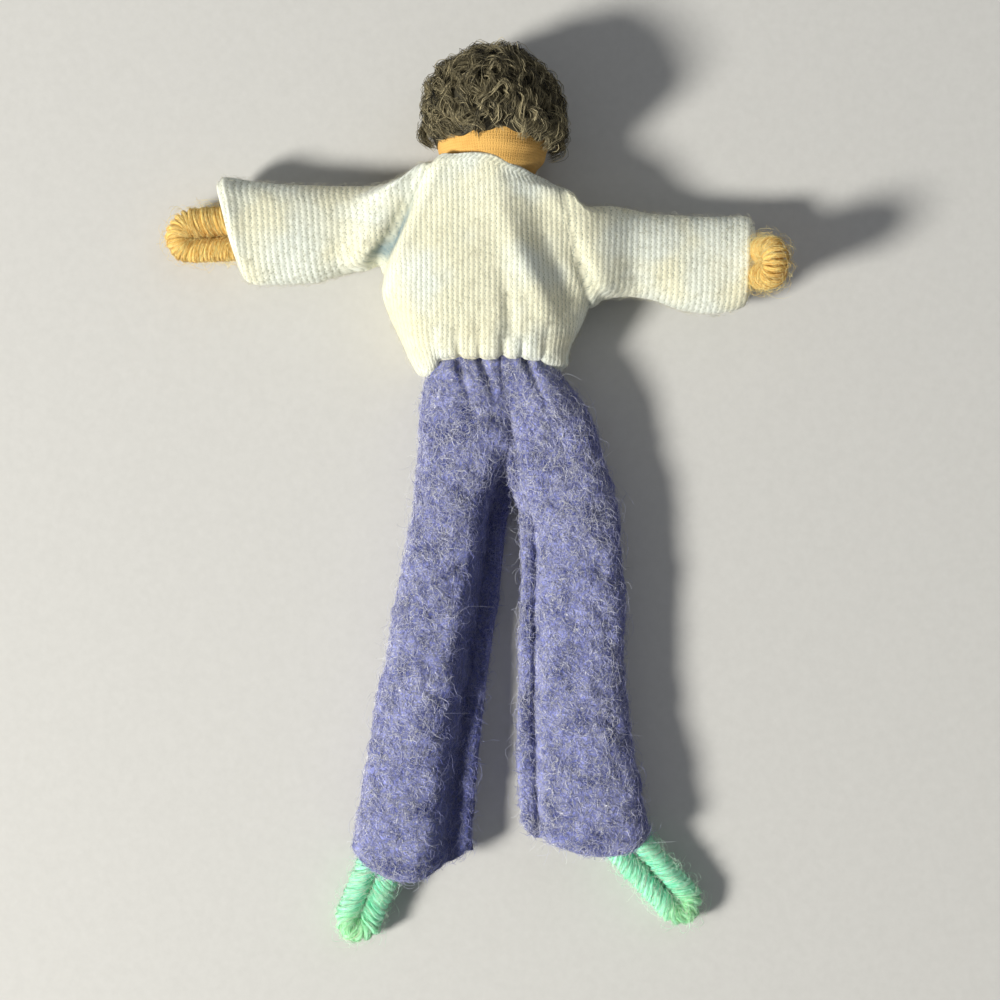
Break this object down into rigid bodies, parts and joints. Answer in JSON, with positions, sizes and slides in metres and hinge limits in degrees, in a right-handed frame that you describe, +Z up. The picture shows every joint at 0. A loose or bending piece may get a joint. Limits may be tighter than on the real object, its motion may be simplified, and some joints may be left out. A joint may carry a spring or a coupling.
{
  "type": "bendy doll",
  "caption": "Small bendable doll lying face down: wire armature wound with yarn, stuffed cloth head with curly yarn hair, jersey shirt, felt trousers and wound yarn shoes.",
  "frame": {"origin": "the point on the table under the shirt's chest, on the flat of the trunk that rests on it, a little left of the neck's line", "axes": "+Y towards the head, +Z up off the table to the doll's back, +X to the right side of the picture; left and right in the names are the picture's sides"},
  "size_m": [0.0931, 0.1353, 0.0205],
  "materials": {
    "jersey": "ribbed knit",
    "felt": "fuzzy heathered felt",
    "skin_cloth": "plain weave",
    "skin_yarn": "wound yarn",
    "shoe_yarn": "wound yarn",
    "hair_yarn": "curly yarn",
    "batting": "soft",
    "wire": "drawn",
    "thread": "twisted",
    "white_thread": "twisted"
  },
  "bodies": {
    "torso": {"shirt_trunk": "jersey", "shirt_yoke": "jersey", "shirt_hem": "jersey", "chest_padding": "batting", "spine_wire": "wire", "shoulder_wire": "wire"},
    "neck_lower": {"neck_wire_lower": "wire"},
    "neck_upper": {"neck_wire_upper": "wire"},
    "head": {"head_cover": "skin_cloth", "head_ball": "batting", "head_wire": "wire", "neck_tie": "thread", "hair": "hair_yarn", "eye_left": "thread", "eye_right": "thread", "mouth_stitch": "thread"},
    "waist": {"waist_wire": "wire"},
    "hips": {"trouser_waist": "felt", "waist_thread": "white_thread", "hip_padding": "batting", "hip_wire": "wire"},
    "shoulder_left": {"shoulder_bend_left": "wire"},
    "upper_arm_left": {"upper_arm_wire_left": "wire", "upper_arm_wrap_left": "batting", "sleeve_upper_left": "jersey"},
    "forearm_left": {"forearm_wire_left": "wire", "forearm_wrap_left": "batting", "sleeve_lower_left": "jersey"},
    "hand_left": {"hand_wire_left": "wire", "hand_winding_left": "skin_yarn"},
    "hip_left": {"hip_bend_left": "wire"},
    "thigh_left": {"thigh_wire_left": "wire", "thigh_wrap_left": "batting", "trouser_thigh_left": "felt"},
    "shin_left": {"shin_wire_left": "wire", "shin_wrap_left": "batting", "trouser_shin_left": "felt"},
    "foot_left": {"foot_wire_left": "wire", "foot_winding_left": "shoe_yarn"},
    "shoulder_right": {"shoulder_bend_right": "wire"},
    "upper_arm_right": {"upper_arm_wire_right": "wire", "upper_arm_wrap_right": "batting", "sleeve_upper_right": "jersey"},
    "forearm_right": {"forearm_wire_right": "wire", "forearm_wrap_right": "batting", "sleeve_lower_right": "jersey"},
    "hand_right": {"hand_wire_right": "wire", "hand_winding_right": "skin_yarn"},
    "hip_right": {"hip_bend_right": "wire"},
    "thigh_right": {"thigh_wire_right": "wire", "thigh_wrap_right": "batting", "trouser_thigh_right": "felt"},
    "shin_right": {"shin_wire_right": "wire", "shin_wrap_right": "batting", "trouser_shin_right": "felt"},
    "foot_right": {"foot_wire_right": "wire", "foot_winding_right": "shoe_yarn"}
  },
  "joints": [
    {"name": "neck_nod", "type": "hinge", "parent": "torso", "child": "neck_lower", "pos_m": [0.0012, 0.0116, 0.0089], "axis": [1, 0, 0], "range_deg": [-22, 22], "deforming": ["shirt_yoke"]},
    {"name": "neck_tilt", "type": "hinge", "parent": "neck_lower", "child": "neck_upper", "pos_m": [0.0012, 0.0138, 0.0089], "axis": [0, 0, 1], "range_deg": [-20, 20], "deforming": ["shirt_yoke"]},
    {"name": "head_turn", "type": "hinge", "parent": "neck_upper", "child": "head", "pos_m": [0.0012, 0.01735, 0.0089], "axis": [0, 1, 0], "range_deg": [-60, 60]},
    {"name": "waist_bend", "type": "hinge", "parent": "torso", "child": "waist", "pos_m": [0.00105, -0.0138, 0.0056], "axis": [-1, 0, 0], "range_deg": [-45, 30], "deforming": ["shirt_hem", "trouser_waist"]},
    {"name": "waist_lean", "type": "hinge", "parent": "waist", "child": "hips", "pos_m": [0.00105, -0.0162, 0.0056], "axis": [0, 0, 1], "range_deg": [-25, 25], "deforming": ["shirt_hem", "trouser_waist"]},
    {"name": "shoulder_raise_left", "type": "hinge", "parent": "torso", "child": "shoulder_left", "pos_m": [-0.01095, 0.00825, 0.005], "axis": [0, 0, -1], "range_deg": [-38, 50], "deforming": ["sleeve_upper_left", "shirt_yoke"]},
    {"name": "shoulder_reach_left", "type": "hinge", "parent": "shoulder_left", "child": "upper_arm_left", "pos_m": [-0.01511, 0.00769, 0.005], "axis": [-0.1323, 0.9912, 0], "range_deg": [-80, 60], "deforming": ["sleeve_upper_left", "shirt_yoke"]},
    {"name": "elbow_left", "type": "hinge", "parent": "upper_arm_left", "child": "forearm_left", "pos_m": [-0.02384, 0.00653, 0.005], "axis": [0, 0, 1], "range_deg": [-90, 90], "deforming": ["sleeve_upper_left", "sleeve_lower_left"]},
    {"name": "wrist_left", "type": "hinge", "parent": "forearm_left", "child": "hand_left", "pos_m": [-0.03533, 0.005, 0.005], "axis": [0, 1, 0], "range_deg": [-70, 80], "deforming": ["sleeve_lower_left"]},
    {"name": "shoulder_raise_right", "type": "hinge", "parent": "torso", "child": "shoulder_right", "pos_m": [0.0123, 0.00375, 0.005], "axis": [0, 0, 1], "range_deg": [-38, 50], "deforming": ["sleeve_upper_right", "shirt_yoke"]},
    {"name": "shoulder_reach_right", "type": "hinge", "parent": "shoulder_right", "child": "upper_arm_right", "pos_m": [0.01648, 0.00331, 0.005], "axis": [-0.1045, -0.9945, 0], "range_deg": [-80, 60], "deforming": ["sleeve_upper_right", "shirt_yoke"]},
    {"name": "elbow_right", "type": "hinge", "parent": "upper_arm_right", "child": "forearm_right", "pos_m": [0.02523, 0.00239, 0.005], "axis": [0, 0, -1], "range_deg": [-90, 90], "deforming": ["sleeve_upper_right", "sleeve_lower_right"]},
    {"name": "wrist_right", "type": "hinge", "parent": "forearm_right", "child": "hand_right", "pos_m": [0.04045, 0.00079, 0.005], "axis": [-0.0523, -0.9986, 0], "range_deg": [-140, 5], "deforming": ["sleeve_lower_right"]},
    {"name": "hip_spread_left", "type": "hinge", "parent": "hips", "child": "hip_left", "pos_m": [-0.00225, -0.02325, 0.0042], "axis": [0, 0, -1], "range_deg": [-3, 35], "deforming": ["trouser_thigh_left", "trouser_waist"]},
    {"name": "hip_kick_left", "type": "hinge", "parent": "hip_left", "child": "thigh_left", "pos_m": [-0.00288, -0.0274, 0.0042], "axis": [-0.9885, 0.1513, 0], "range_deg": [-90, 35], "deforming": ["trouser_thigh_left", "trouser_waist"]},
    {"name": "knee_left", "type": "hinge", "parent": "thigh_left", "child": "shin_left", "pos_m": [-0.0072, -0.05557, 0.0042], "axis": [-0.9818, 0.19, 0], "range_deg": [-30, 90], "deforming": ["trouser_thigh_left", "trouser_shin_left"]},
    {"name": "ankle_left", "type": "hinge", "parent": "shin_left", "child": "foot_left", "pos_m": [-0.01421, -0.08546, 0.0034], "axis": [-0.9285, 0.3714, 0], "range_deg": [-40, 40], "deforming": ["trouser_shin_left"]},
    {"name": "hip_spread_right", "type": "hinge", "parent": "hips", "child": "hip_right", "pos_m": [0.00765, -0.02325, 0.0042], "axis": [0, 0, 1], "range_deg": [-3, 35], "deforming": ["trouser_thigh_right", "trouser_waist"]},
    {"name": "hip_kick_right", "type": "hinge", "parent": "hip_right", "child": "thigh_right", "pos_m": [0.00838, -0.02739, 0.0042], "axis": [-0.9848, -0.1736, 0], "range_deg": [-90, 35], "deforming": ["trouser_thigh_right", "trouser_waist"]},
    {"name": "knee_right", "type": "hinge", "parent": "thigh_right", "child": "shin_right", "pos_m": [0.01333, -0.05545, 0.0042], "axis": [-0.9796, -0.2011, 0], "range_deg": [-30, 90], "deforming": ["trouser_thigh_right", "trouser_shin_right"]},
    {"name": "ankle_right", "type": "hinge", "parent": "shin_right", "child": "foot_right", "pos_m": [0.02034, -0.08534, 0.0034], "axis": [-0.7431, -0.6691, 0], "range_deg": [-40, 40], "deforming": ["trouser_shin_right"]}
  ]
}
